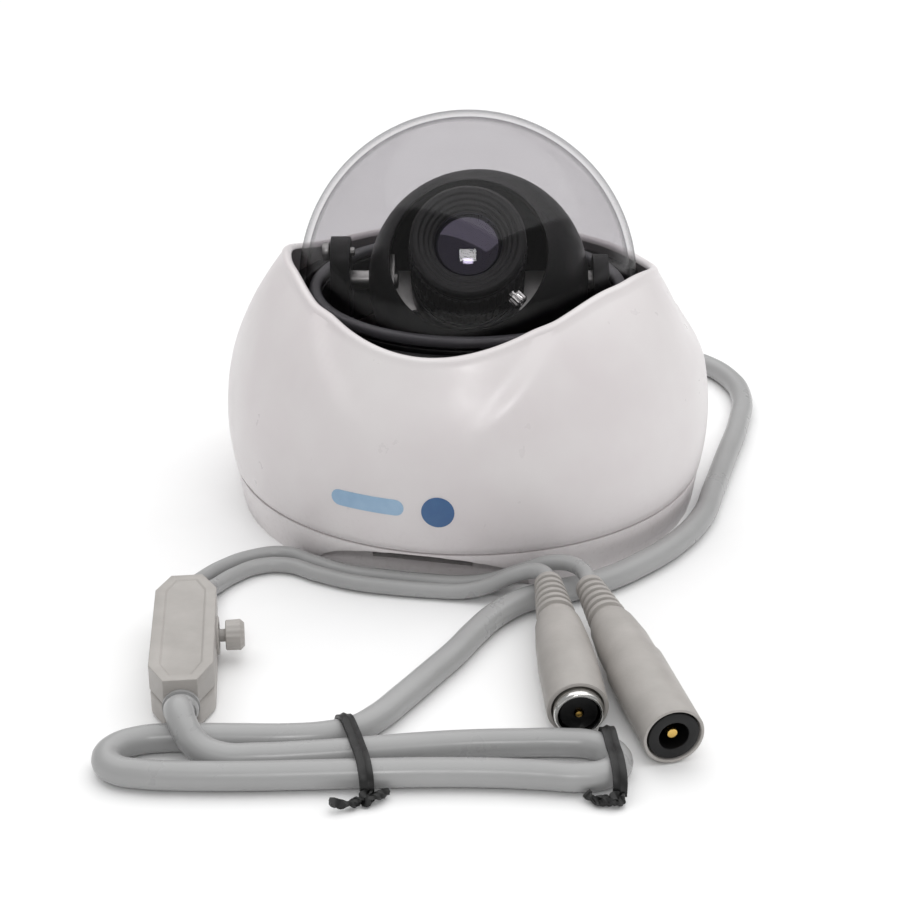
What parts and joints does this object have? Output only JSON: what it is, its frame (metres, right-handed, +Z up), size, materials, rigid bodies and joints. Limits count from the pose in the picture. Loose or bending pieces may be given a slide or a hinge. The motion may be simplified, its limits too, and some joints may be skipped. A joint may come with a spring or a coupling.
{
  "type": "dome cctv camera",
  "caption": "Round indoor dome security camera: clear bubble over a ball-shaped varifocal camera on a pan, tilt and roll gimbal, with a tied lead, joystick controller and tail connectors.",
  "frame": {"origin": "centre of the base's underside, on the surface that it rests on", "axes": "+Z up through the bubble, -Y towards the front, where the cover's opening dips, +X to the right of a viewer who faces the front"},
  "size_m": [0.1264, 0.2392, 0.0923],
  "materials": {
    "housing_white": "satin moulded ABS, warm off-white",
    "clear_bubble": "polished polycarbonate with a light smoke-grey tint",
    "black_plastic": "fine-grained black moulded plastic",
    "dark_plastic": "dark grey moulded plastic",
    "seal_rubber": "soft black rubber",
    "screw_steel": "bright zinc-plated steel",
    "chrome_plate": "nickel plate, polished",
    "contact_gold": "gold-flashed contact",
    "circuit_board": "green solder mask over glass fibre",
    "lens_glass": "coated optical glass",
    "cable_grey": "soft PVC jacket, light grey",
    "connector_beige": "moulded PVC and ABS, warm grey",
    "tie_black": "black plastic-covered wire",
    "badge_blue": "plain blue inlay"
  },
  "bodies": {
    "root": {"base_ring": "housing_white", "cover_seal": "seal_rubber", "main_board": "circuit_board", "board_screw_1": "screw_steel", "board_screw_2": "screw_steel", "board_screw_3": "screw_steel", "board_connector": "connector_beige", "board_capacitor": "dark_plastic", "pan_base": "black_plastic", "cable_gland": "cable_grey", "trunk_cable": "cable_grey", "video_lead": "cable_grey", "power_lead": "cable_grey", "cable_hank": "cable_grey", "wire_tie_left": "tie_black", "wire_tie_right": "tie_black", "video_boot": "connector_beige", "video_barrel": "chrome_plate", "video_insulator": "housing_white", "video_pin": "contact_gold", "power_boot": "connector_beige", "power_socket": "black_plastic", "power_pin": "chrome_plate", "controller_lower": "connector_beige", "controller_upper": "connector_beige", "controller_board": "circuit_board", "controller_relief": "cable_grey"},
    "cover": {"cover_shell": "housing_white", "clear_dome": "clear_bubble", "dome_gasket": "seal_rubber", "trim_ring": "black_plastic", "dome_clamp_ring": "dark_plastic", "clamp_screw_1": "screw_steel", "clamp_screw_2": "screw_steel", "clamp_screw_3": "screw_steel", "inner_liner": "black_plastic", "badge_bar": "badge_blue"},
    "pan": {"turntable": "black_plastic", "pan_clip": "screw_steel", "yoke_left": "black_plastic", "yoke_right": "black_plastic", "pan_lock_screw": "screw_steel", "tilt_lock_screw": "screw_steel"},
    "tilt": {"camera_ball": "black_plastic", "camera_bracket": "screw_steel", "tilt_pin_left": "screw_steel", "tilt_pin_right": "screw_steel"},
    "camera": {"sensor_board": "circuit_board", "sensor_chip": "dark_plastic", "lens_mount": "black_plastic", "lens_barrel": "black_plastic", "lens_bezel": "black_plastic", "front_glass": "lens_glass"},
    "zoom": {"zoom_ring": "black_plastic", "zoom_lock_screw": "screw_steel"},
    "focus": {"focus_ring": "black_plastic", "focus_lock_screw": "chrome_plate"},
    "stick_swing": {"joystick_pivot": "screw_steel"},
    "stick_lean": {"joystick_stick": "connector_beige"},
    "stick_press": {"joystick_cap": "connector_beige"}
  },
  "joints": [
    {"name": "cover_lift", "type": "slide", "parent": "root", "child": "cover", "axis": [0, 0, 1], "range_m": [0, 0.09]},
    {"name": "pan_turn", "type": "hinge", "parent": "root", "child": "pan", "pos_m": [0, 0, 0.017], "axis": [0, 0, 1], "range_deg": [-187, 163]},
    {"name": "tilt_turn", "type": "hinge", "parent": "pan", "child": "tilt", "pos_m": [0, 0, 0.0525], "axis": [0.9781, 0.2079, 0], "range_deg": [-52, 30]},
    {"name": "lens_roll", "type": "hinge", "parent": "tilt", "child": "camera", "pos_m": [0, 0, 0.0525], "axis": [0.1638, -0.7708, 0.6157], "range_deg": [-90, 90]},
    {"name": "zoom_turn", "type": "hinge", "parent": "camera", "child": "zoom", "pos_m": [0, 0, 0.0525], "axis": [0.1638, -0.7708, 0.6157], "range_deg": [-35, 35]},
    {"name": "focus_turn", "type": "hinge", "parent": "camera", "child": "focus", "pos_m": [0, 0, 0.0525], "axis": [0.1638, -0.7708, 0.6157], "range_deg": [-45, 45]},
    {"name": "stick_swing", "type": "hinge", "parent": "root", "child": "stick_swing", "pos_m": [-0.0363, -0.0951, 0.0058], "axis": [0, 0, 1], "range_deg": [-8, 8], "stiffness_Nm_per_rad": 0.02},
    {"name": "stick_lean", "type": "hinge", "parent": "stick_swing", "child": "stick_lean", "pos_m": [-0.0363, -0.0951, 0.0058], "axis": [0.309, -0.9511, 0], "range_deg": [-8, 8], "stiffness_Nm_per_rad": 0.02},
    {"name": "stick_press", "type": "slide", "parent": "stick_lean", "child": "stick_press", "axis": [-0.9511, -0.309, 0], "range_m": [0, 0.0005], "stiffness_N_per_m": 300}
  ]
}
